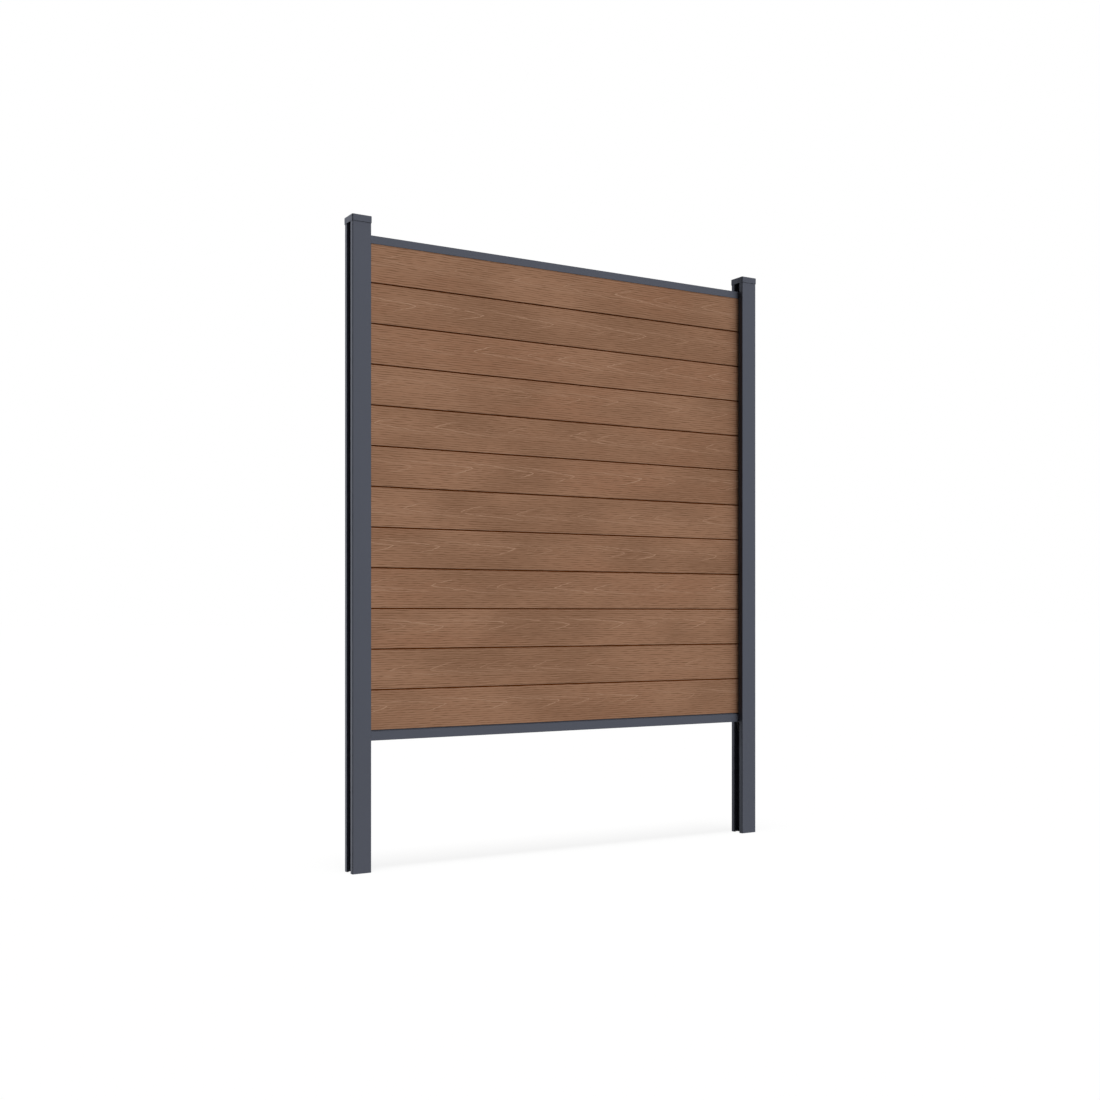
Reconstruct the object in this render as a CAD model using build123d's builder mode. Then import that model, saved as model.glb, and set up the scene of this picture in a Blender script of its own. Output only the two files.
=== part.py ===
from build123d import *
import os

# Fence panel: hollow tongue-and-groove composite boards stacked between two slotted aluminium posts.
# Millimetres. X runs along the panel, Y runs from front to back, Z is up.
# The origin lies on the ground line, midway between the post feet.

# Overall sizes
AXIS_SPACING = 1800.0       # from post centre to post centre
PANEL_BASE = 480.0          # underside of the bottom rail above the post foot
POST_HEADROOM = 60.0        # end of the post above the top rail

# Post extrusion
POST_SIZE = 74.0            # square outside
POST_CORNER = 3.0           # outside corner radius
POST_WALL = 2.0             # outside walls and web walls
POST_INNER_WALL = 1.8       # lips and the walls of the flange chambers
SLOT_MOUTH = 35.0           # width of the slot between its two lips
SLOT_LIP = 9.0              # depth of the lips
SLOT_UNDERCUT = 8.0         # how far the slot widens behind each lip
SLOT_DEPTH = 24.0           # from the side of the post to the web
SLOT_RADIUS = 0.6           # rounding of the lips

# Boards
BOARD_COUNT = 12
BOARD_PITCH = 150.0         # from one seam to the next
BOARD_THICKNESS = 20.0
SEAM_GAP = 5.0              # open shadow line between two boards
BOARD_EDGE = 1.2            # rounding of the edges along the seam
TONGUE_THICKNESS = 7.0
GROOVE_DEPTH = 10.0
GROOVE_CLEARANCE = 0.4      # each side of the tongue
TONGUE_TIP = 1.0            # rounding of the tongue
CHAMBER_COUNT = 5
CHAMBER_WALL = 4.0          # outside walls, webs and ends around the board chambers
BOARD_CHAMBER_CORNER = 2.0  # bevel in the corners of the board chambers

# Room for the boards and rails to grow, between their ends and the web of the post
END_GAP = 4.0

# Rails
RAIL_CLEARANCE = 0.2        # between the skirts of the top rail and the board
RAIL_WALL = 1.8
RAIL_CORNER = 0.9
BOTTOM_RAIL_HEIGHT = 34.0
TOP_RAIL_OVERLAP = 3.0      # skirts of the top rail over the face of the top board
TOP_RAIL_BOX = 11.0         # height of the chamber above the tongue

# Post caps
CAP_CLEARANCE = 0.2         # between the skirt and the post
CAP_WALL = 1.8
CAP_PLATE = 2.0
CAP_SKIRT = 22.0            # how far the skirt reaches down the post
CAP_EDGE = 1.2              # bevel round the lid

# Clamping strips
STRIP_CLEARANCE = 0.1       # to the board, to the lip and to the back of the lip
STRIP_RECESS = 1.0          # front of the strip below the side of the post
STRIP_HOOK = 4.0            # thickness of the hook behind the lip
STRIP_HOOK_REACH = 4.5      # how far the hook goes behind the lip
STRIP_WALL = 1.5            # around the hollow of the strip
STRIP_END_GAP = 1.0         # below the top rail
STRIP_RADIUS = 0.6

# Panel stops
STOP_WIDTH = 30.0
STOP_HEIGHT = 44.0
STOP_PLATE = 2.5
STOP_SHELF = 3.0
STOP_CLEARANCE = 0.5        # from the shelf to the back of the lips
STOP_RIB = 2.5              # thickness of the side ribs

# Screws of the stops
SCREW_DIAMETER = 4.0
SCREW_HEAD = 7.6
SCREW_HEAD_HEIGHT = 2.6
SCREW_LENGTH = 11.0
SCREW_HOLE_CLEARANCE = 0.15
SCREW_SPACING = 18.0        # from the upper screw to the lower one
SCREW_DROP = 15.0           # upper screw below the top of the stop

# Levels and lengths that follow
POST_HALF = POST_SIZE / 2
MOUTH_HALF = SLOT_MOUTH / 2
UNDERCUT_HALF = MOUTH_HALF + SLOT_UNDERCUT
WEB_HALF = POST_HALF - SLOT_DEPTH
CLEAR_WIDTH = AXIS_SPACING - POST_SIZE
MEMBER_LENGTH = CLEAR_WIDTH + 2 * (SLOT_DEPTH - END_GAP)
BOARD_BODY = BOARD_PITCH - SEAM_GAP
TONGUE_HEIGHT = SEAM_GAP + GROOVE_DEPTH
RAIL_THICKNESS = BOARD_THICKNESS + 2 * (RAIL_CLEARANCE + RAIL_WALL)
BOTTOM_RAIL_TOP = PANEL_BASE + BOTTOM_RAIL_HEIGHT
BOARD_BASE = BOTTOM_RAIL_TOP + SEAM_GAP
BOARDS_TOP = BOARD_BASE + BOARD_COUNT * BOARD_PITCH - SEAM_GAP
TOP_TONGUE = BOARDS_TOP + TONGUE_HEIGHT
SKIRT_BOTTOM = BOARDS_TOP - TOP_RAIL_OVERLAP
POST_LENGTH = TOP_TONGUE + TOP_RAIL_BOX + POST_HEADROOM
SIDES = (("left", -1), ("right", 1))
FACES = (("front", -1), ("back", 1))

os.makedirs("parts", exist_ok=True)

# Screws, shared by the post webs and the stops that they hold
WEB_FACE = AXIS_SPACING / 2 - WEB_HALF
SCREW_HOLE = SCREW_DIAMETER + 2 * SCREW_HOLE_CLEARANCE
UPPER_SCREW = PANEL_BASE - SCREW_DROP
SCREW_LEVELS = (UPPER_SCREW, UPPER_SCREW - SCREW_SPACING)

# Posts: one extrusion with a lipped slot in both sides, a hollow flange in front and behind, a hollow web
FLANGE_STEP = POST_HALF - SLOT_LIP
CHAMBER_SIDE = POST_HALF - POST_WALL
CHAMBER_STEP = FLANGE_STEP + POST_INNER_WALL
CHAMBER_LIP = MOUTH_HALF + POST_INNER_WALL
CHAMBER_FLOOR = UNDERCUT_HALF + POST_INNER_WALL
for side, sign in SIDES:
    with BuildPart() as post:
        with BuildSketch(Plane(origin=(sign * AXIS_SPACING / 2, 0, 0))) as section:
            Rectangle(POST_SIZE, POST_SIZE)
            fillet(section.vertices(), POST_CORNER)
            for slot_sign in (-1, 1):
                with BuildLine():
                    Polyline(
                        (slot_sign * (POST_HALF + POST_WALL), -MOUTH_HALF),
                        (slot_sign * FLANGE_STEP, -MOUTH_HALF),
                        (slot_sign * FLANGE_STEP, -UNDERCUT_HALF),
                        (slot_sign * WEB_HALF, -UNDERCUT_HALF),
                        (slot_sign * WEB_HALF, UNDERCUT_HALF),
                        (slot_sign * FLANGE_STEP, UNDERCUT_HALF),
                        (slot_sign * FLANGE_STEP, MOUTH_HALF),
                        (slot_sign * (POST_HALF + POST_WALL), MOUTH_HALF),
                        close=True,
                    )
                make_face(mode=Mode.SUBTRACT)
            lip_reach = MOUTH_HALF + SLOT_RADIUS
            fillet(section.vertices().filter_by_position(Axis.Y, -lip_reach, lip_reach), SLOT_RADIUS)
            # Web chamber, between the two slots
            Rectangle(
                2 * (WEB_HALF - POST_WALL),
                2 * (UNDERCUT_HALF - POST_INNER_WALL),
                mode=Mode.SUBTRACT,
            )
            # Flange chambers, stepped around the undercut of the slots
            for _, face_sign in FACES:
                with BuildLine():
                    Polyline(
                        (-CHAMBER_SIDE, face_sign * CHAMBER_SIDE),
                        (-CHAMBER_SIDE, face_sign * CHAMBER_LIP),
                        (-CHAMBER_STEP, face_sign * CHAMBER_LIP),
                        (-CHAMBER_STEP, face_sign * CHAMBER_FLOOR),
                        (CHAMBER_STEP, face_sign * CHAMBER_FLOOR),
                        (CHAMBER_STEP, face_sign * CHAMBER_LIP),
                        (CHAMBER_SIDE, face_sign * CHAMBER_LIP),
                        (CHAMBER_SIDE, face_sign * CHAMBER_SIDE),
                        close=True,
                    )
                make_face(mode=Mode.SUBTRACT)
        extrude(amount=POST_LENGTH)
        # Holes for the screws of the panel stop, in the web wall that faces the panel
        for level in SCREW_LEVELS:
            with BuildSketch(Plane(origin=(sign * WEB_FACE, 0, level), x_dir=(0, 1, 0), z_dir=(sign, 0, 0))):
                Circle(SCREW_HOLE / 2)
            extrude(amount=POST_WALL, mode=Mode.SUBTRACT)
    post.part.label = f"post_{side}"
    export_step(post.part, f"parts/post_{side}.step")

# Post caps: a flat lid with a skirt that slips over the post
CAP_INSIDE = POST_SIZE + 2 * CAP_CLEARANCE
CAP_OUTSIDE = CAP_INSIDE + 2 * CAP_WALL
for side, sign in SIDES:
    with BuildPart() as cap:
        with BuildSketch(Plane(origin=(sign * AXIS_SPACING / 2, 0, POST_LENGTH - CAP_SKIRT))) as outline:
            Rectangle(CAP_OUTSIDE, CAP_OUTSIDE)
            fillet(outline.vertices(), POST_CORNER + CAP_WALL)
        extrude(amount=CAP_SKIRT + CAP_PLATE)
        chamfer(cap.faces().sort_by(Axis.Z)[-1].edges(), CAP_EDGE)
        with BuildSketch(Plane(origin=(sign * AXIS_SPACING / 2, 0, POST_LENGTH - CAP_SKIRT))) as inside:
            Rectangle(CAP_INSIDE, CAP_INSIDE)
            fillet(inside.vertices(), POST_CORNER)
        extrude(amount=CAP_SKIRT, mode=Mode.SUBTRACT)
    cap.part.label = f"cap_{side}"
    export_step(cap.part, f"parts/cap_{side}.step")

# Boards: one extrusion each, tongue at the top, groove at the bottom, chambers between
CHAMBERS_BOTTOM = GROOVE_DEPTH + CHAMBER_WALL
CHAMBERS_SPAN = BOARD_BODY - CHAMBERS_BOTTOM - CHAMBER_WALL
CHAMBER_HEIGHT = (CHAMBERS_SPAN - (CHAMBER_COUNT - 1) * CHAMBER_WALL) / CHAMBER_COUNT
CHAMBER_WIDTH = BOARD_THICKNESS - 2 * CHAMBER_WALL
GROOVE_WIDTH = TONGUE_THICKNESS + 2 * GROOVE_CLEARANCE
for index in range(BOARD_COUNT):
    base = BOARD_BASE + index * BOARD_PITCH
    board_plane = Plane(origin=(-MEMBER_LENGTH / 2, 0, base), x_dir=(0, 1, 0), z_dir=(1, 0, 0))
    with BuildPart() as board:
        with BuildSketch(board_plane) as section:
            Rectangle(BOARD_THICKNESS, BOARD_BODY, align=(Align.CENTER, Align.MIN))
            fillet(section.vertices(), BOARD_EDGE)
            with Locations((0, BOARD_BODY)):
                Rectangle(TONGUE_THICKNESS, TONGUE_HEIGHT, align=(Align.CENTER, Align.MIN))
            fillet(section.vertices().group_by(Axis.Y)[-1], TONGUE_TIP)
            Rectangle(GROOVE_WIDTH, GROOVE_DEPTH, align=(Align.CENTER, Align.MIN), mode=Mode.SUBTRACT)
            with BuildSketch(mode=Mode.SUBTRACT) as chambers:
                for row in range(CHAMBER_COUNT):
                    with Locations((0, CHAMBERS_BOTTOM + row * (CHAMBER_HEIGHT + CHAMBER_WALL))):
                        Rectangle(CHAMBER_WIDTH, CHAMBER_HEIGHT, align=(Align.CENTER, Align.MIN))
                chamfer(chambers.vertices(), BOARD_CHAMBER_CORNER)
        extrude(amount=MEMBER_LENGTH)
    board.part.label = f"board_{index + 1:02d}"
    export_step(board.part, f"parts/board_{index + 1:02d}.step")

# Bottom rail: a hollow extrusion with the tongue that the lowest board sits on
with BuildPart() as rail_bottom:
    rail_plane = Plane(origin=(-MEMBER_LENGTH / 2, 0, PANEL_BASE), x_dir=(0, 1, 0), z_dir=(1, 0, 0))
    with BuildSketch(rail_plane) as section:
        Rectangle(RAIL_THICKNESS, BOTTOM_RAIL_HEIGHT, align=(Align.CENTER, Align.MIN))
        fillet(section.vertices(), RAIL_CORNER)
        with Locations((0, BOTTOM_RAIL_HEIGHT)):
            Rectangle(TONGUE_THICKNESS, TONGUE_HEIGHT, align=(Align.CENTER, Align.MIN))
        fillet(section.vertices().group_by(Axis.Y)[-1], TONGUE_TIP)
        # Chamber of the rail and the open inside of its tongue
        with Locations((0, RAIL_WALL)):
            Rectangle(
                RAIL_THICKNESS - 2 * RAIL_WALL,
                BOTTOM_RAIL_HEIGHT - 2 * RAIL_WALL,
                align=(Align.CENTER, Align.MIN),
                mode=Mode.SUBTRACT,
            )
        with Locations((0, BOTTOM_RAIL_HEIGHT - 2 * RAIL_WALL)):
            Rectangle(
                TONGUE_THICKNESS - 2 * RAIL_WALL,
                TONGUE_HEIGHT + RAIL_WALL,
                align=(Align.CENTER, Align.MIN),
                mode=Mode.SUBTRACT,
            )
    extrude(amount=MEMBER_LENGTH)
rail_bottom.part.label = "rail_bottom"
export_step(rail_bottom.part, "parts/rail_bottom.step")

# Top rail: a chamber that rests on the top tongue, with two skirts over the faces of the top board
SKIRT_HEIGHT = TOP_TONGUE - SKIRT_BOTTOM
with BuildPart() as rail_top:
    rail_plane = Plane(origin=(-MEMBER_LENGTH / 2, 0, SKIRT_BOTTOM), x_dir=(0, 1, 0), z_dir=(1, 0, 0))
    with BuildSketch(rail_plane) as section:
        Rectangle(RAIL_THICKNESS, SKIRT_HEIGHT + TOP_RAIL_BOX, align=(Align.CENTER, Align.MIN))
        fillet(section.vertices().group_by(Axis.Y)[-1], RAIL_CORNER)
        Rectangle(
            RAIL_THICKNESS - 2 * RAIL_WALL,
            SKIRT_HEIGHT,
            align=(Align.CENTER, Align.MIN),
            mode=Mode.SUBTRACT,
        )
        with Locations((0, SKIRT_HEIGHT + RAIL_WALL)):
            Rectangle(
                RAIL_THICKNESS - 2 * RAIL_WALL,
                TOP_RAIL_BOX - 2 * RAIL_WALL,
                align=(Align.CENTER, Align.MIN),
                mode=Mode.SUBTRACT,
            )
    extrude(amount=MEMBER_LENGTH)
rail_top.part.label = "rail_top"
export_step(rail_top.part, "parts/rail_top.step")

# Clamping strips: they fill the slot beside the boards and hook behind its lips
STRIP_INSIDE = BOARD_THICKNESS / 2 + STRIP_CLEARANCE
STRIP_OUTSIDE = MOUTH_HALF - STRIP_CLEARANCE
HOOK_FRONT = SLOT_LIP + STRIP_CLEARANCE
HOOK_BACK = HOOK_FRONT + STRIP_HOOK
STRIP_MIDDLE = (STRIP_INSIDE + STRIP_OUTSIDE) / 2
STRIP_HOLLOW_MIDDLE = (STRIP_RECESS + HOOK_BACK) / 2
for side, sign in SIDES:
    # Side of the post that faces the panel: the slot runs from here towards the post axis
    mouth = sign * CLEAR_WIDTH / 2
    for face, face_sign in FACES:
        with BuildPart() as strip:
            with BuildSketch(Plane.XY.offset(BOTTOM_RAIL_TOP)) as section:
                with BuildLine():
                    Polyline(
                        (mouth + sign * STRIP_RECESS, face_sign * STRIP_INSIDE),
                        (mouth + sign * STRIP_RECESS, face_sign * STRIP_OUTSIDE),
                        (mouth + sign * HOOK_FRONT, face_sign * STRIP_OUTSIDE),
                        (mouth + sign * HOOK_FRONT, face_sign * (STRIP_OUTSIDE + STRIP_HOOK_REACH)),
                        (mouth + sign * HOOK_BACK, face_sign * (STRIP_OUTSIDE + STRIP_HOOK_REACH)),
                        (mouth + sign * HOOK_BACK, face_sign * STRIP_INSIDE),
                        close=True,
                    )
                make_face()
                fillet(section.vertices(), STRIP_RADIUS)
                with Locations((mouth + sign * STRIP_HOLLOW_MIDDLE, face_sign * STRIP_MIDDLE)):
                    Rectangle(
                        HOOK_BACK - STRIP_RECESS - 2 * STRIP_WALL,
                        STRIP_OUTSIDE - STRIP_INSIDE - 2 * STRIP_WALL,
                        mode=Mode.SUBTRACT,
                    )
            extrude(amount=SKIRT_BOTTOM - STRIP_END_GAP - BOTTOM_RAIL_TOP)
        strip.part.label = f"strip_{side}_{face}"
        export_step(strip.part, f"parts/strip_{side}_{face}.step")

# Panel stops: a plate on the web of each post, with a shelf under the bottom rail and two ribs
STOP_REACH = SLOT_DEPTH - SLOT_LIP - STOP_CLEARANCE
for side, sign in SIDES:
    stop_plane = Plane(origin=(sign * WEB_FACE, 0, PANEL_BASE), x_dir=(-sign, 0, 0), z_dir=(0, sign, 0))
    with BuildPart() as stop:
        with BuildSketch(stop_plane.offset(-STOP_WIDTH / 2)) as profile:
            Rectangle(STOP_PLATE, STOP_HEIGHT, align=(Align.MIN, Align.MAX))
            Rectangle(STOP_REACH, STOP_SHELF, align=(Align.MIN, Align.MAX))
        extrude(amount=STOP_WIDTH)
        for rib_start in (-STOP_WIDTH / 2, STOP_WIDTH / 2 - STOP_RIB):
            with BuildSketch(stop_plane.offset(rib_start)):
                with BuildLine():
                    Polyline(
                        (0, 0),
                        (STOP_REACH, 0),
                        (STOP_REACH, -STOP_SHELF),
                        (STOP_PLATE, -STOP_HEIGHT),
                        (0, -STOP_HEIGHT),
                        close=True,
                    )
                make_face()
            extrude(amount=STOP_RIB)
        for level in SCREW_LEVELS:
            with BuildSketch(Plane(origin=(sign * WEB_FACE, 0, level), x_dir=(0, 1, 0), z_dir=(-sign, 0, 0))):
                Circle(SCREW_HOLE / 2)
            extrude(amount=STOP_PLATE, mode=Mode.SUBTRACT)
    stop.part.label = f"stop_{side}"
    export_step(stop.part, f"parts/stop_{side}.step")

# Screws of both stops, as one group
with BuildPart() as screws:
    for _, sign in SIDES:
        seat = sign * (WEB_FACE - STOP_PLATE)
        for level in SCREW_LEVELS:
            with BuildSketch(Plane(origin=(seat, 0, level), x_dir=(0, 1, 0), z_dir=(-sign, 0, 0))):
                Circle(SCREW_HEAD / 2)
            extrude(amount=SCREW_HEAD_HEIGHT)
            with BuildSketch(Plane(origin=(seat, 0, level), x_dir=(0, 1, 0), z_dir=(sign, 0, 0))):
                Circle(SCREW_DIAMETER / 2)
            extrude(amount=SCREW_LENGTH)
screws.part.label = "stop_screws"
export_step(screws.part, "parts/stop_screws.step")
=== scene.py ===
import math
import random

import bmesh
import bpy
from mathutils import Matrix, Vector


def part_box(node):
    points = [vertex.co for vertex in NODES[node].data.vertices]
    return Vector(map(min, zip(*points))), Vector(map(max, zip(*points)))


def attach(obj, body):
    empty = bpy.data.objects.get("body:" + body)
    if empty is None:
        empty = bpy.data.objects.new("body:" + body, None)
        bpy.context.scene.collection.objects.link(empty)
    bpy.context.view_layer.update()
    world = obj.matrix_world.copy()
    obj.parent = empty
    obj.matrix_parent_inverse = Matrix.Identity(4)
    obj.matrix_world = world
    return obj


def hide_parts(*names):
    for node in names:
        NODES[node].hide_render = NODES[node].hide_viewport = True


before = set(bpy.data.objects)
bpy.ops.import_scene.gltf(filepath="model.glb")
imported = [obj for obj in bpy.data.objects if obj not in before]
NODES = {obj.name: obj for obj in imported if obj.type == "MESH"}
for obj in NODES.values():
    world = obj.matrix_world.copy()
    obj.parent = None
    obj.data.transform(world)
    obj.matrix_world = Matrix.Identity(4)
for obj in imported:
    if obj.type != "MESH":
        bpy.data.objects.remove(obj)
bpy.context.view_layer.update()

# Fence panel: looks, floor, light and camera around the fixed frame. Metres, +Z up, front is -Y.

BOARDS = sorted(name for name in NODES if name.startswith("board_"))
STRIPS = sorted(name for name in NODES if name.startswith("strip_"))
STOPS = ("stop_left", "stop_right")
COATED = ("post_left", "post_right", "cap_left", "cap_right", "rail_top", "rail_bottom")

# Camera, as the photograph was taken: level, the frame shifted up
PHOTO_SIZE = 1100.0
FOCAL_PX = 1356.45
HORIZON_PX = 613.66
CAMERA_PLACE = (-2.8454, -4.6345, 0.9477)
CAMERA_YAW = 0.5380
CAMERA_REACH = 200.0
SENSOR_MM = 36.0

# Materials: colours are linear. A noise scale is per metre, one for each axis or one for all.
# A ramp runs from its first value to its second and gives its third to its fourth, or else nought to one.
# A bump is a strength and a depth in metres.
NOISE_DETAIL = 3.0
NOISE_ROUGHNESS = 0.5
NO_OFFSET = (0.0, 0.0, 0.0)
MIX_FIRST, MIX_SECOND, MIX_RESULT = 6, 7, 2

# Powder coat of posts, caps and rails; bevels and rounded corners carry painted shade, a darker colour on
# them
COAT_COLOUR = (0.083, 0.090, 0.114)
COAT_DARK = (0.080, 0.087, 0.110)
COAT_SPECK = (0.106, 0.113, 0.136)
COAT_EDGE_SHADE = (0.030, 0.033, 0.043)
COAT_CLOUD = (5.0, 5.0, 1.6)
COAT_CLOUD_RAMP = (0.3, 0.7)
COAT_SPECK_SCALE = 900.0
COAT_SPECK_RAMP = (0.62, 0.80, 0.0, 0.25)
COAT_ROUGHNESS_RAMP = (0.2, 0.8, 0.36, 0.44)
COAT_GLOSS = 0.10
COAT_PEEL = 420.0
DIE_LINES = (260.0, 260.0, 1.2)
DIE_LINE_SHARE = 0.25
COAT_BUMP = (0.25, 0.00012)
EDGE_RAMP = (0.999, 0.960)
EDGE_SHADE_SHARE = 0.80
BARE_METAL = (0.60, 0.60, 0.61)
FOOT_HEIGHT_RAMP = (0.0012, 0.0004)
FOOT_FACING_RAMP = (-0.6, -0.9)

# Boards: colours and tones
BOARD_SEED = 12
BOARD_DARK = (0.144, 0.069, 0.035)
BOARD_MIDDLE = (0.251, 0.134, 0.079)
BOARD_LIGHT = (0.320, 0.174, 0.105)
BOARD_RED = (0.291, 0.145, 0.084)
GRAIN_LIGHT = (0.370, 0.220, 0.142)
FIGURE_LIGHT = (0.400, 0.240, 0.156)
# The joint colour is partly the unbrushed skin and partly painted shade in the seams
JOINT_SKIN_AND_SHADE = (0.155, 0.040, 0.005)
CUT_COMPOSITE = (0.230, 0.130, 0.085)
BOARD_GLOSS = 0.06
BOARD_BUMP = (0.30, 0.0005)
BOARD_OFFSETS = (20.0, 60.0)
BOARD_STEP = 1.7
BOARD_SHADE = 0.06
PATCH = (2.4, 1.0, 5.0)
PATCH_RAMP = (0.30, 0.70)
BLUSH = (1.7, 1.0, 5.0)
BLUSH_OFFSET = (7.0, 0.0, 3.0)
BLUSH_RAMP = (0.45, 0.70, 0.0, 0.55)
BRUSHED_DEPTH = 0.0008
BRUSHED_FADE = 0.0015
BOARD_END_RAMP = (0.6, 0.9)

# Boards: brushed hairlines and fibres
HAIR_PITCH = 0.0086
HAIR_DRIFT = 6.0
DRIFT = (14.0, 1.0, 40.0)
SWELL = (26.0, 1.0, 130.0)
SWELL_OFFSET = (3.0, 0.0, 5.0)
SWELL_RAMP = (0.30, 0.70, 0.04, 0.16)
FIBRE = (22.0, 1.0, 460.0)
FIBRE_SHARE = 0.36
DARK_FIBRE_RAMP = (0.52, 0.30, 0.0, 0.80)
LIGHT_FIBRE_RAMP = (0.52, 0.74, 0.0, 0.60)
FIBRE_ROUGHNESS = 0.18
BOARD_ROUGHNESS = 0.58
PORE = (38.0, 1.0, 900.0)
PORE_RAMP = (0.62, 0.72, 0.0, 0.5)

# Boards: cathedral figure of pale nested arrowheads, one arm of each long and the other short
FIGURE_PITCH = 0.245
FIGURE_BEND = 45.0
FIGURE_SHORT_SIDE = 0.28
FIGURE_POWER = 1.35
FIGURE_HALF_HEIGHT = 0.034
FIGURE_FULL_SHARE = 0.4
FIGURE_RELIEF = 0.8
HEART_SHIFT = 0.012
HEART_WIDTH = 0.002
SWAY = (2.2, 1.0, 1.0)
SWAY_REACH = 0.030
RIPPLE = (16.0, 1.0, 55.0)
RIPPLE_ROUGHNESS = 0.6
RIPPLE_REACH = 0.011
BREAKS = (22.0, 1.0, 70.0)
BREAK_RAMP = (0.26, 0.46)
LINE_HALF_WIDTH = 0.0016
LINE_CORE = 0.3
LINE_PLACE_RAMP = (0.0, 1.0, 0.25, 0.75)
LINE_STRENGTH_RAMP = (0.0, 1.0, 0.50, 1.0)
BOLD_SEED_STEP = 7.0
FAINT_SEED_STEP = 11.0
FAINT_PER_BOLD = 4.0
FAINT_WIDTH = 0.8
FAINT_STRENGTH = 0.30

# Rubber strips
STRIP_COLOUR = (0.012, 0.012, 0.013)
STRIP_BLOOM = (0.024, 0.024, 0.025)
STRIP_LINES = (700.0, 700.0, 3.0)
STRIP_CLOUD = (30.0, 30.0, 6.0)
STRIP_BLOOM_RAMP = (0.35, 0.75, 0.0, 0.5)
STRIP_ROUGHNESS_RAMP = (0.3, 0.7, 0.62, 0.80)
STRIP_BUMP = (0.3, 0.0002)

# Painted stops
STOP_COLOUR = (0.020, 0.020, 0.022)
STOP_PALE = (0.032, 0.032, 0.034)
STOP_CLOUD = 60.0
STOP_CLOUD_RAMP = (0.3, 0.7)
STOP_ROUGHNESS_RAMP = (0.3, 0.7, 0.42, 0.58)
STOP_PEEL = 700.0
STOP_BUMP = (0.3, 0.0001)

# Zinc plated screws
ZINC_COLOUR = (0.56, 0.56, 0.55)
ZINC_PALE = (0.68, 0.68, 0.66)
SPANGLE = 1400.0
SPANGLE_RAMP = (0.35, 0.65)
ZINC_ROUGHNESS_RAMP = (0.3, 0.7, 0.28, 0.42)
HEAD_RADIUS = 0.0038
HEAD_HEIGHT = 0.0026
HEAD_DOME = 0.62
SHANK_LENGTH = 0.0110
CREST_RADIUS = 0.0020
ROOT_RADIUS = 0.0015
THREAD_PITCH = 0.0014
THREAD_SHARPNESS = 1.5
POINT_LENGTH = 0.003
POINT_SHARE = 0.15
RECESS_DEPTH = 0.0013
RECESS_HALF_WIDTH = 0.00045
RECESS_REACH = 0.0022
SCREW_SIDES = 36
HEAD_RINGS = 14
SHANK_RINGS = 60

# Floor and background
WHITE = (1.0, 1.0, 1.0, 1.0)
FLOOR_SIZE = 200.0
FLOOR_BOUNCE = (0.10, 0.10, 0.10, 1.0)
FLOOR_SHADOW_SHARE = 0.13
WORLD_FILL = 0.02

# Far lamps: at level 1 a narrow lamp makes a white surface that faces it render white; azimuth from the
# front towards +X, height above the horizon and the lamp's width, in degrees
KEY_LEVEL, KEY_AZIMUTH, KEY_HEIGHT, KEY_SPREAD = 1.81, 53.0, 28.0, 90.0
BACK_LEVEL, BACK_AZIMUTH, BACK_HEIGHT, BACK_SPREAD = 0.75, 150.0, 28.0, 70.0
TOP_LEVEL, TOP_AZIMUTH, TOP_HEIGHT, TOP_SPREAD = 1.00, -31.0, 85.0, 12.0
FAR_LAMP_DISTANCE = 10.0

# Two lamps left of the panel and behind it, one above the other, in watts
RIM_PLACE = (-2.2, 0.75)
RIM_LEVELS = (0.50, 2.40)
RIM_SIZE = (0.5, 1.0)
RIM_POWER = 19.8


def rgba(colour):
    return (*colour, 1.0)


def node(tree, kind, inputs=None, **settings):
    """Adds a node; inputs are values or sockets, by name or number."""
    made = tree.nodes.new(kind)
    for key, value in settings.items():
        setattr(made, key, value)
    for key, value in (inputs or {}).items():
        if isinstance(value, bpy.types.NodeSocket):
            tree.links.new(value, made.inputs[key])
        else:
            made.inputs[key].default_value = value
    return made


def math_node(tree, operation, *values):
    return node(tree, "ShaderNodeMath", dict(enumerate(values)), operation=operation).outputs[0]


def times(tree, first, second):
    return math_node(tree, "MULTIPLY", first, second)


def minus(tree, first, second):
    return math_node(tree, "SUBTRACT", first, second)


def times_plus(tree, first, second, added):
    return math_node(tree, "MULTIPLY_ADD", first, second, added)


def mix_colour(tree, factor, first, second):
    inputs = {"Factor": factor, MIX_FIRST: first, MIX_SECOND: second}
    return node(tree, "ShaderNodeMix", inputs, data_type="RGBA").outputs[MIX_RESULT]


def noise(tree, vector, scale, detail=NOISE_DETAIL, roughness=NOISE_ROUGHNESS):
    inputs = {"Vector": vector, "Scale": scale, "Detail": detail, "Roughness": roughness}
    return node(tree, "ShaderNodeTexNoise", inputs).outputs[0]


def stretched(tree, point, scale, offset=NO_OFFSET):
    """Object coordinates scaled by axis and shifted."""
    inputs = {"Vector": point, "Scale": scale, "Location": offset}
    return node(tree, "ShaderNodeMapping", inputs).outputs[0]


def streaks(tree, point, scale, detail=NOISE_DETAIL, roughness=NOISE_ROUGHNESS, offset=NO_OFFSET):
    """Noise that runs in streaks, by a scale for each axis."""
    return noise(tree, stretched(tree, point, scale, offset), 1.0, detail, roughness)


def ramp(tree, value, low, high, out_low=0.0, out_high=1.0):
    """Smooth ramp of a value from low to high."""
    inputs = {"Value": value, "From Min": low, "From Max": high, "To Min": out_low, "To Max": out_high}
    return node(tree, "ShaderNodeMapRange", inputs, interpolation_type="SMOOTHSTEP").outputs[0]


def start_material(name):
    material = bpy.data.materials.new(name)
    material.use_nodes = True
    tree = material.node_tree
    shader = tree.nodes["Principled BSDF"]
    point = tree.nodes.new("ShaderNodeTexCoord").outputs["Object"]
    return material, tree, shader, point


def drive(tree, shader, sources):
    """Links sockets to the shader's inputs, by name."""
    for name, source in sources.items():
        tree.links.new(source, shader.inputs[name])


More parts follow.
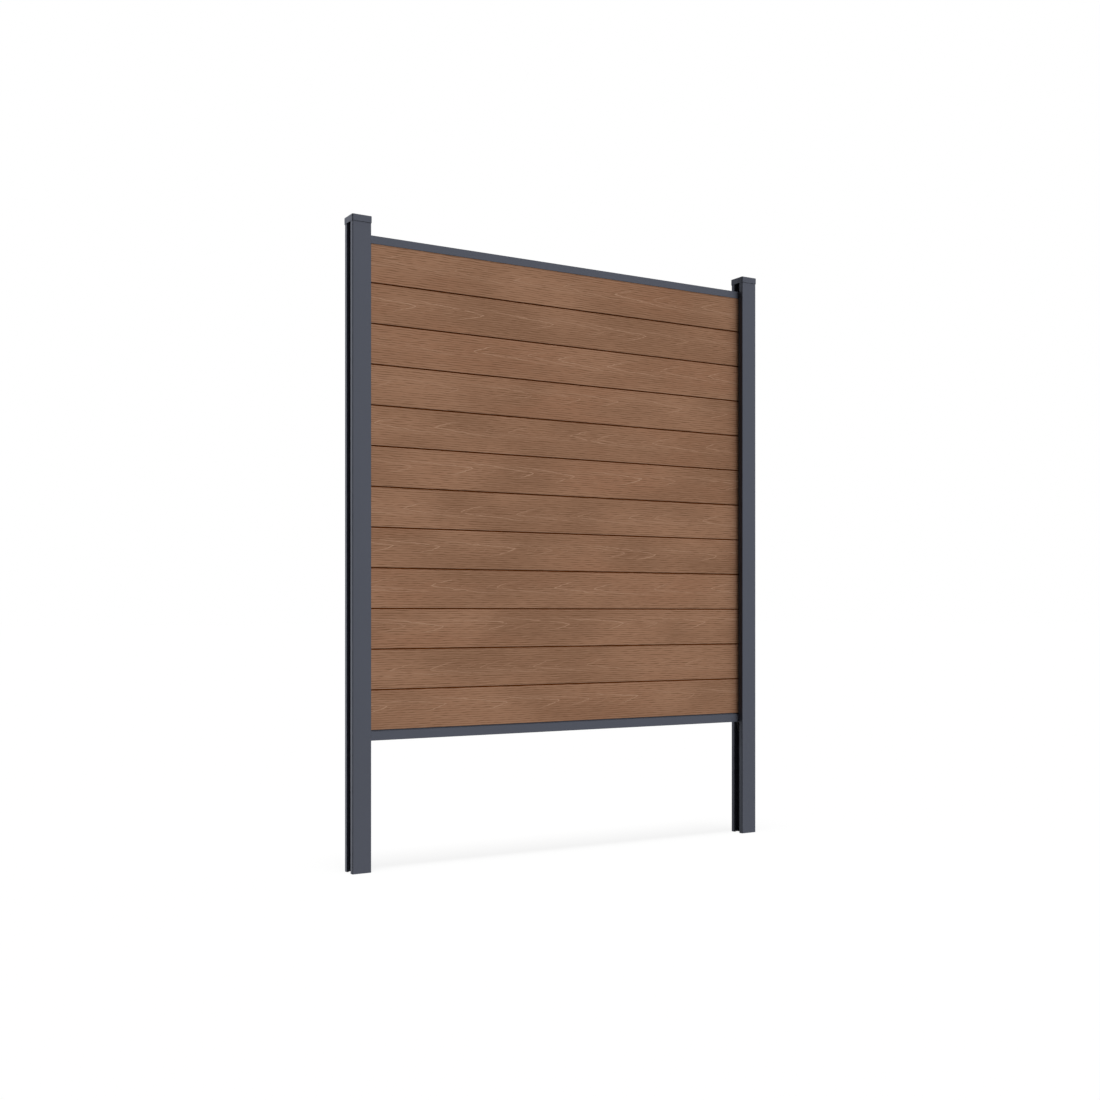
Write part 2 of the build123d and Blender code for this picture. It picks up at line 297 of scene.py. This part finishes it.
def add_bump(tree, shader, height, strength, depth):
    bump = node(tree, "ShaderNodeBump", {"Height": height, "Strength": strength, "Distance": depth})
    drive(tree, shader, {"Normal": bump.outputs[0]})


def axes_of(tree, vector):
    return node(tree, "ShaderNodeSeparateXYZ", {0: vector}).outputs


def facing(tree):
    """How far the surface faces along each axis, signed."""
    return axes_of(tree, tree.nodes.new("ShaderNodeNewGeometry").outputs["True Normal"])


def rounded_edges(tree):
    """One on bevels and rounded corners, nought on the flat faces square to an axis."""
    sizes = [math_node(tree, "ABSOLUTE", part) for part in facing(tree)]
    largest = math_node(tree, "MAXIMUM", math_node(tree, "MAXIMUM", sizes[0], sizes[1]), sizes[2])
    return ramp(tree, largest, *EDGE_RAMP)


def coat_material():
    """Anthracite powder coat on extruded aluminium; the sawn feet are bare metal."""
    material, tree, shader, point = start_material("powder_coat")
    cloud = streaks(tree, point, COAT_CLOUD)
    speck = noise(tree, point, COAT_SPECK_SCALE, detail=2.0)
    colour = mix_colour(tree, ramp(tree, cloud, *COAT_CLOUD_RAMP), rgba(COAT_DARK), rgba(COAT_COLOUR))
    colour = mix_colour(tree, ramp(tree, speck, *COAT_SPECK_RAMP), colour, rgba(COAT_SPECK))
    # Painted shade: bevels and rounded corners are darkened in the colour
    edge_shade = times(tree, rounded_edges(tree), EDGE_SHADE_SHARE)
    colour = mix_colour(tree, edge_shade, colour, rgba(COAT_EDGE_SHADE))
    near_ground = ramp(tree, axes_of(tree, point)[2], *FOOT_HEIGHT_RAMP)
    sawn = times(tree, near_ground, ramp(tree, facing(tree)[2], *FOOT_FACING_RAMP))
    colour = mix_colour(tree, sawn, colour, rgba(BARE_METAL))
    roughness = ramp(tree, cloud, *COAT_ROUGHNESS_RAMP)
    drive(tree, shader, {"Base Color": colour, "Metallic": sawn, "Roughness": roughness})
    shader.inputs["Specular IOR Level"].default_value = COAT_GLOSS
    peel = noise(tree, point, COAT_PEEL, detail=2.0)
    die_lines = streaks(tree, point, DIE_LINES, detail=2.0)
    add_bump(tree, shader, times_plus(tree, die_lines, DIE_LINE_SHARE, peel), *COAT_BUMP)
    return material


def figure_lines(tree, run, slope, pitch, half_width, seed):
    """Thin lines, one in each pitch of the run, each with its own place and strength."""
    turns = math_node(tree, "ADD", math_node(tree, "DIVIDE", run, pitch), seed)
    cell = math_node(tree, "FLOOR", turns)
    own = node(tree, "ShaderNodeTexWhiteNoise", {"W": cell}, noise_dimensions="1D").outputs
    place = ramp(tree, own["Value"], *LINE_PLACE_RAMP)
    away = math_node(tree, "ABSOLUTE", minus(tree, math_node(tree, "FRACT", turns), place))
    away = math_node(tree, "DIVIDE", times(tree, away, pitch), slope)
    strength = node(tree, "ShaderNodeSeparateColor", {0: own["Color"]}).outputs[1]
    line = ramp(tree, away, half_width, LINE_CORE * half_width)
    return times(tree, line, ramp(tree, strength, *LINE_STRENGTH_RAMP))


def cathedral_figure(tree, axes, shifted, index, heading, along, heart):
    """Lines of even thickness that bend round a heart line, which sways along the board."""
    sway = streaks(tree, shifted, SWAY, detail=1.0)
    ripple = streaks(tree, shifted, RIPPLE, roughness=RIPPLE_ROUGHNESS)
    rise = minus(tree, axes[2], heart)
    rise = times_plus(tree, minus(tree, sway, 0.5), SWAY_REACH, rise)
    height = math_node(tree, "ABSOLUTE", rise)
    short_bend = FIGURE_BEND * FIGURE_SHORT_SIDE
    arm = ramp(tree, times(tree, rise, heading), -HEART_WIDTH, HEART_WIDTH, FIGURE_BEND, short_bend)
    bend = times(tree, math_node(tree, "POWER", height, FIGURE_POWER), arm)
    slope = math_node(tree, "POWER", height, FIGURE_POWER - 1.0)
    slope = times(tree, slope, times(tree, arm, FIGURE_POWER))
    slope = math_node(tree, "ADD", slope, 1.0)
    wander = times(tree, minus(tree, ripple, 0.5), RIPPLE_REACH)
    run = minus(tree, times_plus(tree, axes[0], heading, along), bend)
    run = times_plus(tree, wander, slope, run)
    bold = figure_lines(tree, run, slope, FIGURE_PITCH, LINE_HALF_WIDTH, index * BOLD_SEED_STEP)
    faint_pitch = FIGURE_PITCH / FAINT_PER_BOLD
    faint_width = FAINT_WIDTH * LINE_HALF_WIDTH
    faint = figure_lines(tree, run, slope, faint_pitch, faint_width, index * FAINT_SEED_STEP)
    line = math_node(tree, "MAXIMUM", bold, times(tree, faint, FAINT_STRENGTH))
    near_heart = ramp(tree, height, FIGURE_HALF_HEIGHT, FIGURE_FULL_SHARE * FIGURE_HALF_HEIGHT)
    broken = ramp(tree, streaks(tree, shifted, BREAKS, detail=2.0), *BREAK_RAMP)
    return times(tree, times(tree, line, near_heart), broken)


def brushed_fibres(tree, axes, shifted):
    """Brushed hairlines that wander a little, over fine fibres along the board; about one half on average."""
    drift = streaks(tree, shifted, DRIFT, detail=1.0)
    swell = streaks(tree, shifted, SWELL, detail=1.0, offset=SWELL_OFFSET)
    turn = times_plus(tree, drift, HAIR_DRIFT, times(tree, axes[2], 2.0 * math.pi / HAIR_PITCH))
    hair = times(tree, math_node(tree, "SINE", turn), ramp(tree, swell, *SWELL_RAMP))
    fibre = streaks(tree, shifted, FIBRE, detail=2.0)
    fibre = times_plus(tree, fibre, FIBRE_SHARE, (1.0 - FIBRE_SHARE) / 2.0)
    return math_node(tree, "ADD", fibre, hair)


def board_material(index, low, high, chance):
    """Brown composite with an embossed cathedral grain, turned end for end on every other board."""
    material, tree, shader, point = start_material(f"composite_{index + 1:02d}")
    heading = 1.0 if index % 2 else -1.0
    along = chance.uniform(*BOARD_OFFSETS)
    heart = (low[2] + high[2]) / 2.0 + chance.uniform(-HEART_SHIFT, HEART_SHIFT)
    shade = chance.uniform(-BOARD_SHADE, BOARD_SHADE)
    axes = axes_of(tree, point)
    shifted = stretched(tree, point, (1.0, 1.0, 1.0), (along, index * BOARD_STEP, 0.0))
    line = cathedral_figure(tree, axes, shifted, index, heading, along, heart)
    fibre = brushed_fibres(tree, axes, shifted)
    patch = math_node(tree, "ADD", streaks(tree, shifted, PATCH, detail=1.0), shade)
    blush = streaks(tree, shifted, BLUSH, detail=2.0, offset=BLUSH_OFFSET)
    colour = mix_colour(tree, ramp(tree, patch, *PATCH_RAMP), rgba(BOARD_MIDDLE), rgba(BOARD_LIGHT))
    colour = mix_colour(tree, ramp(tree, blush, *BLUSH_RAMP), colour, rgba(BOARD_RED))
    colour = mix_colour(tree, ramp(tree, fibre, *DARK_FIBRE_RAMP), colour, rgba(BOARD_DARK))
    colour = mix_colour(tree, ramp(tree, fibre, *LIGHT_FIBRE_RAMP), colour, rgba(GRAIN_LIGHT))
    colour = mix_colour(tree, line, colour, rgba(FIGURE_LIGHT))
    # Only the two faces are brushed: tongue and groove keep a dark skin that also paints shade into the
    # seams, sawn ends the plain composite
    brushed = high[1] - BRUSHED_DEPTH
    skin_and_shade = ramp(tree, math_node(tree, "ABSOLUTE", axes[1]), brushed, brushed - BRUSHED_FADE)
    colour = mix_colour(tree, skin_and_shade, colour, rgba(JOINT_SKIN_AND_SHADE))
    sawn = ramp(tree, math_node(tree, "ABSOLUTE", facing(tree)[0]), *BOARD_END_RAMP)
    colour = mix_colour(tree, sawn, colour, rgba(CUT_COMPOSITE))
    roughness = times_plus(tree, fibre, FIBRE_ROUGHNESS, BOARD_ROUGHNESS)
    drive(tree, shader, {"Base Color": colour, "Roughness": roughness})
    shader.inputs["Specular IOR Level"].default_value = BOARD_GLOSS
    pores = ramp(tree, streaks(tree, shifted, PORE, detail=1.0), *PORE_RAMP)
    relief = minus(tree, times_plus(tree, line, FIGURE_RELIEF, fibre), pores)
    add_bump(tree, shader, relief, *BOARD_BUMP)
    return material


def strip_material():
    """Matt black extruded rubber with fine lines along its length."""
    material, tree, shader, point = start_material("strip_rubber")
    cloud = streaks(tree, point, STRIP_CLOUD)
    bloom = ramp(tree, cloud, *STRIP_BLOOM_RAMP)
    colour = mix_colour(tree, bloom, rgba(STRIP_COLOUR), rgba(STRIP_BLOOM))
    roughness = ramp(tree, cloud, *STRIP_ROUGHNESS_RAMP)
    drive(tree, shader, {"Base Color": colour, "Roughness": roughness})
    add_bump(tree, shader, streaks(tree, point, STRIP_LINES, detail=2.0), *STRIP_BUMP)
    return material


def stop_material():
    """Black paint on a pressed steel bracket."""
    material, tree, shader, point = start_material("black_steel")
    cloud = noise(tree, point, STOP_CLOUD)
    colour = mix_colour(tree, ramp(tree, cloud, *STOP_CLOUD_RAMP), rgba(STOP_COLOUR), rgba(STOP_PALE))
    roughness = ramp(tree, cloud, *STOP_ROUGHNESS_RAMP)
    drive(tree, shader, {"Base Color": colour, "Roughness": roughness})
    add_bump(tree, shader, noise(tree, point, STOP_PEEL), *STOP_BUMP)
    return material


def zinc_material():
    """Zinc plated steel with a faint spangle."""
    material, tree, shader, point = start_material("screw_steel")
    spangle = noise(tree, point, SPANGLE)
    colour = mix_colour(tree, ramp(tree, spangle, *SPANGLE_RAMP), rgba(ZINC_COLOUR), rgba(ZINC_PALE))
    roughness = ramp(tree, spangle, *ZINC_ROUGHNESS_RAMP)
    drive(tree, shader, {"Base Color": colour, "Roughness": roughness})
    shader.inputs["Metallic"].default_value = 1.0
    return material


def dress(names, material):
    for name in names:
        slots = NODES[name].data.materials
        slots.clear()
        slots.append(material)


def head_depth(share, turn):
    """Depth of the domed head and its cross recess at a share of its radius; outwards is negative."""
    radius = HEAD_RADIUS * share
    dome = HEAD_HEIGHT * math.sqrt(1.0 - HEAD_DOME * share * share)
    side, reach = abs(radius * math.cos(turn)), abs(radius * math.sin(turn))
    in_cross = min(side, reach) < RECESS_HALF_WIDTH and max(side, reach) < RECESS_REACH
    return (RECESS_DEPTH if in_cross else 0.0) - dome


def shank_radius(level, turn):
    """Radius of the thread at a level along the shank and a turn round it, tapered to the point."""
    phase = (level / THREAD_PITCH - turn / (2.0 * math.pi)) % 1.0
    ridge = (1.0 - abs(2.0 * phase - 1.0)) ** THREAD_SHARPNESS
    taper = min(1.0, (SHANK_LENGTH - level) / POINT_LENGTH + POINT_SHARE)
    return (ROOT_RADIUS + (CREST_RADIUS - ROOT_RADIUS) * ridge) * taper


def add_screw(mesh, seat, inward):
    """One pan-head screw with a cross recess and a thread; its head seats at a point, its tip is inward."""
    upward = Vector((0.0, 0.0, 1.0))
    across = inward.cross(upward).normalized()
    turns = [2.0 * math.pi * index / SCREW_SIDES for index in range(SCREW_SIDES)]

    def place(radius, turn, depth):
        aside = seat + across * (radius * math.cos(turn))
        return mesh.verts.new(aside + upward * (radius * math.sin(turn)) + inward * depth)

    shares = [index / HEAD_RINGS for index in range(1, HEAD_RINGS + 1)]
    levels = [SHANK_LENGTH * index / SHANK_RINGS for index in range(SHANK_RINGS + 1)]
    rings = []
    for share in shares:
        rings.append([place(HEAD_RADIUS * share, turn, head_depth(share, turn)) for turn in turns])
    rings.append([place(HEAD_RADIUS, turn, 0.0) for turn in turns])
    for level in levels:
        rings.append([place(shank_radius(level, turn), turn, level) for turn in turns])
    for first, second in zip(rings, rings[1:]):
        for index in range(SCREW_SIDES):
            following = (index + 1) % SCREW_SIDES
            mesh.faces.new((first[index], first[following], second[following], second[index]))
    mesh.faces.new(list(reversed(rings[0])))
    mesh.faces.new(rings[-1])


def build_screws(material):
    """The four stop screws in detail, in the place of the plain ones."""
    low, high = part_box("stop_screws")
    mesh = bmesh.new()
    for sign in (-1.0, 1.0):
        for level in (low[2] + HEAD_RADIUS, high[2] - HEAD_RADIUS):
            seat = Vector((sign * (high[0] - SHANK_LENGTH), 0.0, level))
            add_screw(mesh, seat, Vector((sign, 0.0, 0.0)))
    bmesh.ops.recalc_face_normals(mesh, faces=mesh.faces)
    data = bpy.data.meshes.new("stop_screws_detail")
    mesh.to_mesh(data)
    mesh.free()
    piece = bpy.data.objects.new("stop_screws_detail", data)
    bpy.context.scene.collection.objects.link(piece)
    data.materials.append(material)
    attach(piece, "root")
    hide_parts("stop_screws")


def dress_object():
    dress(COATED, coat_material())
    dress(STRIPS, strip_material())
    dress(STOPS, stop_material())
    chance = random.Random(BOARD_SEED)
    for index, name in enumerate(BOARDS):
        dress((name,), board_material(index, *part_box(name), chance))
    build_screws(zinc_material())


def seen_by_eye(tree):
    """One for what the camera, a mirror or a glass sees, nought for what lights the object."""
    path = tree.nodes.new("ShaderNodeLightPath").outputs
    seen = math_node(tree, "MAXIMUM", path["Is Camera Ray"], path["Is Glossy Ray"])
    return math_node(tree, "MAXIMUM", seen, path["Is Transmission Ray"])


def build_floor():
    """A floor that is white to the eye, keeps a soft shadow and throws little light back."""
    bpy.ops.mesh.primitive_plane_add(size=FLOOR_SIZE)
    floor = bpy.context.object
    floor.name = "floor"
    material = bpy.data.materials.new("floor")
    material.use_nodes = True
    material.cycles.emission_sampling = "NONE"
    tree = material.node_tree
    tree.nodes.clear()
    white = node(tree, "ShaderNodeEmission", {"Color": WHITE, "Strength": 1.0}).outputs[0]
    shaded = node(tree, "ShaderNodeBsdfDiffuse", {"Color": WHITE}).outputs[0]
    bounce = node(tree, "ShaderNodeBsdfDiffuse", {"Color": FLOOR_BOUNCE}).outputs[0]
    pale = node(tree, "ShaderNodeMixShader", {0: FLOOR_SHADOW_SHARE, 1: white, 2: shaded}).outputs[0]
    surface = node(tree, "ShaderNodeMixShader", {0: seen_by_eye(tree), 1: bounce, 2: pale}).outputs[0]
    node(tree, "ShaderNodeOutputMaterial", {"Surface": surface})
    floor.data.materials.append(material)
    return floor


def build_world():
    """White to the eye, a low even fill for the object."""
    world = bpy.data.worlds.new("studio")
    bpy.context.scene.world = world
    world.use_nodes = True
    tree = world.node_tree
    background = tree.nodes["Background"]
    background.inputs["Color"].default_value = WHITE
    strength = ramp(tree, seen_by_eye(tree), 0.0, 1.0, WORLD_FILL, 1.0)
    drive(tree, background, {"Strength": strength})


def add_lamp(name, kind, place, aim):
    """A lamp at a place, aimed at a point; the eye and a mirror see the white studio in its place."""
    lamp = bpy.data.objects.new(name, bpy.data.lights.new(name, kind))
    bpy.context.scene.collection.objects.link(lamp)
    lamp.location = place
    lamp.rotation_euler = (Vector(aim) - Vector(place)).to_track_quat("-Z", "Y").to_euler()
    lamp.visible_camera = False
    lamp.visible_glossy = False
    return lamp


def far_lamp(name, level, azimuth, height, spread):
    """A lamp so far off that it lights the whole length evenly, softer the wider it is spread."""
    turn, lift = math.radians(azimuth), math.radians(height)
    level_part = math.cos(lift)
    away = Vector((math.sin(turn) * level_part, -math.cos(turn) * level_part, math.sin(lift)))
    lamp = add_lamp(name, "SUN", FAR_LAMP_DISTANCE * away, (0.0, 0.0, 0.0))
    lamp.data.energy = level * math.pi
    lamp.data.angle = math.radians(spread)
    return lamp


def build_lamps(floor):
    """Wide key from the front right, a wide lamp behind, rims by the left post, and one above the floor."""
    beside = [
        far_lamp("key", KEY_LEVEL, KEY_AZIMUTH, KEY_HEIGHT, KEY_SPREAD),
        far_lamp("back", BACK_LEVEL, BACK_AZIMUTH, BACK_HEIGHT, BACK_SPREAD),
    ]
    above = [far_lamp("top", TOP_LEVEL, TOP_AZIMUTH, TOP_HEIGHT, TOP_SPREAD)]
    post_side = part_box("post_left")[0][0]
    for number, level in enumerate(RIM_LEVELS):
        rim = add_lamp(f"rim_{number + 1}", "AREA", (*RIM_PLACE, level), (post_side, 0.0, level))
        rim.data.shape = "RECTANGLE"
        rim.data.size, rim.data.size_y = RIM_SIZE
        rim.data.energy = RIM_POWER
        beside.append(rim)
    # The floor takes its light, and the shadow on it, from above alone, and the object from all the others
    for name, state, lamps in (("floor_spared", "EXCLUDE", beside), ("floor_alone", "INCLUDE", above)):
        receivers = bpy.data.collections.new(name)
        receivers.objects.link(floor)
        receivers.collection_objects[0].light_linking.link_state = state
        for lamp in lamps:
            lamp.light_linking.receiver_collection = receivers


def build_camera():
    data = bpy.data.cameras.new("camera")
    data.sensor_width = SENSOR_MM
    data.lens = FOCAL_PX / PHOTO_SIZE * SENSOR_MM
    data.shift_y = (HORIZON_PX - PHOTO_SIZE / 2.0) / PHOTO_SIZE
    data.clip_end = CAMERA_REACH
    camera = bpy.data.objects.new("camera", data)
    bpy.context.scene.collection.objects.link(camera)
    camera.location = CAMERA_PLACE
    camera.rotation_euler = (math.pi / 2.0, 0.0, -CAMERA_YAW)
    bpy.context.scene.camera = camera


bpy.context.scene.view_settings.view_transform = "Standard"
dress_object()
floor = build_floor()
build_world()
build_lamps(floor)
build_camera()
